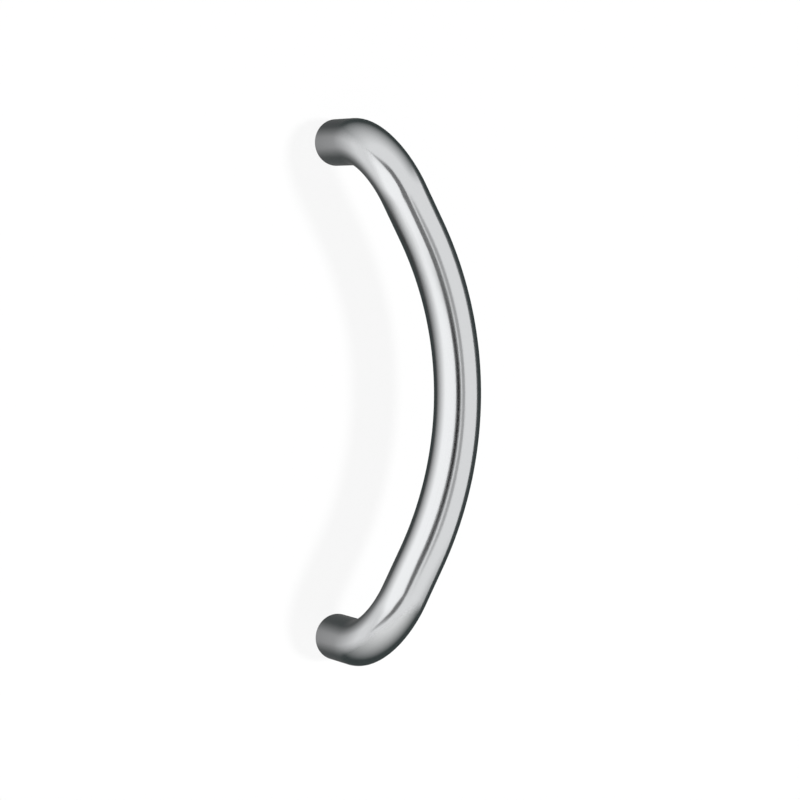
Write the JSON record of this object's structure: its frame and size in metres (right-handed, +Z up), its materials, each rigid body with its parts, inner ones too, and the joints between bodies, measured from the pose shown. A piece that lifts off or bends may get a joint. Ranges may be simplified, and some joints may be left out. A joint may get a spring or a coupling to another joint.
{
  "type": "trolley handle",
  "caption": "Crescent pull handle of round satin stainless bar, bowed sideways along a door or drawer front, with its ends turned in to flat feet tapped for screws from behind.",
  "frame": {"origin": "midway between the fixing holes, in the plane of the foot faces, which lie on the door", "axes": "+Z up along the handle from the lower foot to the upper foot, +Y into the door, +X the way the bow swings out"},
  "size_m": [0.0339, 0.033, 0.14],
  "materials": {
    "satin_steel": "satin, finely ground"
  },
  "bodies": {
    "root": {"handle_bar": "satin_steel"}
  },
  "joints": []
}
